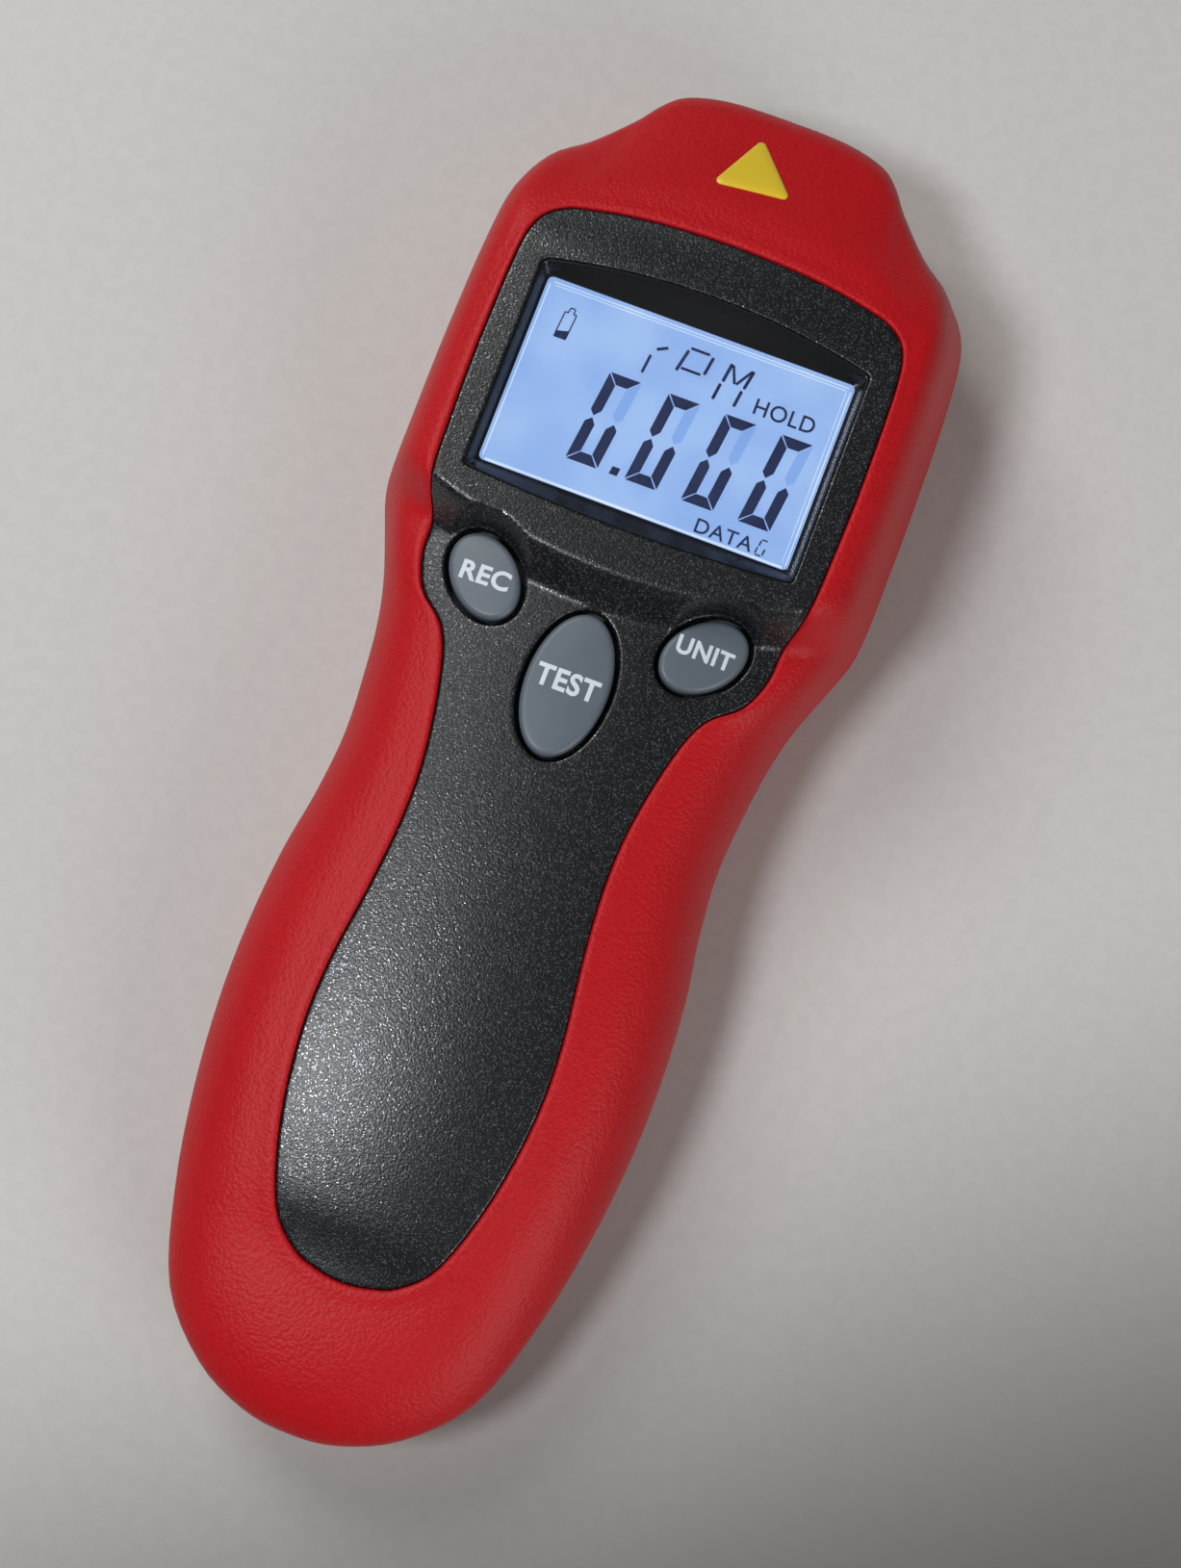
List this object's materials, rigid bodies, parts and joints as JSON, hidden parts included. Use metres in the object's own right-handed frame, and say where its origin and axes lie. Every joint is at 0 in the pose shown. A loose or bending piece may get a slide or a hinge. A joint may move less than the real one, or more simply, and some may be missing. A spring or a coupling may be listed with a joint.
{
  "type": "contact tachometer",
  "caption": "Handheld speed meter with a rubber-covered case, lit display, oval keys, sealed nose optics and a turning contact spindle in its nose.",
  "frame": {"origin": "centre of the bounding box's bottom face: the flat back lies on z = 0, midway between nose and tail", "axes": "+X across the meter to the right of its display, +Y along it to the nose, +Z out of the display"},
  "size_m": [0.0768, 0.21, 0.0375],
  "materials": {
    "red_rubber": "pebbled matte rubber skin",
    "case_plastic": "fine metallic-fleck grain",
    "nose_plastic": "satin moulded",
    "bezel_plastic": "smooth black",
    "clear_window": "polished clear",
    "dark_window": "polished, dark red tint",
    "lcd_cell": "evenly lit, dark segments",
    "light_guide": "milky",
    "inner_plastic": "plain moulded",
    "contact_rubber": "plain silicone",
    "board_green": "solder mask over glass fibre",
    "chip_black": "moulded epoxy",
    "screw_steel": "zinc plated",
    "spindle_steel": "ground",
    "bearing_steel": "polished",
    "housing_aluminium": "turned",
    "laser_brass": "turned",
    "sensor_can": "plain",
    "key_grey": "satin with a soft edge",
    "battery_case": "plain wrap, satin",
    "snap_plastic": "soft vinyl",
    "lead_plastic": "insulated wire",
    "foam_pad": "soft foam",
    "badge_yellow": "smooth"
  },
  "bodies": {
    "case": {"front_grip": "red_rubber", "rear_grip": "red_rubber", "front_case": "case_plastic", "rear_case": "case_plastic", "nose_insert": "nose_plastic", "display_bezel": "bezel_plastic", "screen_lens": "clear_window", "laser_lens": "clear_window", "sensor_lens": "clear_window", "sensor_window": "dark_window", "lcd_glass": "lcd_cell", "light_guide": "light_guide", "lcd_frame": "inner_plastic", "optics_block": "inner_plastic", "battery_tray": "inner_plastic", "slot_pickup": "inner_plastic", "contact_strips": "contact_rubber", "keypad_mat": "contact_rubber", "main_board": "board_green", "sensor_board": "board_green", "board_chips": "chip_black", "board_link": "chip_black", "board_screws": "screw_steel", "case_screws": "screw_steel", "front_bearing": "bearing_steel", "rear_bearing": "bearing_steel", "spindle_housing": "housing_aluminium", "laser_module": "laser_brass", "light_sensor": "sensor_can", "battery": "battery_case", "battery_snap": "snap_plastic", "battery_leads": "lead_plastic", "nose_badge": "badge_yellow"},
    "memory_key": {"memory_key": "key_grey"},
    "measure_key": {"measure_key": "key_grey"},
    "mode_key": {"mode_key": "key_grey"},
    "spindle": {"contact_spindle": "spindle_steel", "retaining_clip": "screw_steel", "slotted_disc": "housing_aluminium"},
    "door": {"battery_door": "case_plastic", "door_pad": "foam_pad", "door_screw": "screw_steel"}
  },
  "joints": [
    {"name": "memory_key_press", "type": "slide", "parent": "case", "child": "memory_key", "axis": [0, 0, -1], "range_m": [0, 0.0008], "stiffness_N_per_m": 400},
    {"name": "measure_key_press", "type": "slide", "parent": "case", "child": "measure_key", "axis": [0, 0, -1], "range_m": [0, 0.0008], "stiffness_N_per_m": 400},
    {"name": "mode_key_press", "type": "slide", "parent": "case", "child": "mode_key", "axis": [0, 0, -1], "range_m": [0, 0.0008], "stiffness_N_per_m": 400},
    {"name": "spindle_spin", "type": "hinge", "parent": "case", "child": "spindle", "pos_m": [0, 0.08, 0.0099], "axis": [0, 1, 0], "continuous": true},
    {"name": "door_lift", "type": "slide", "parent": "case", "child": "door", "axis": [0, 0, -1], "range_m": [0, 0.015]}
  ]
}
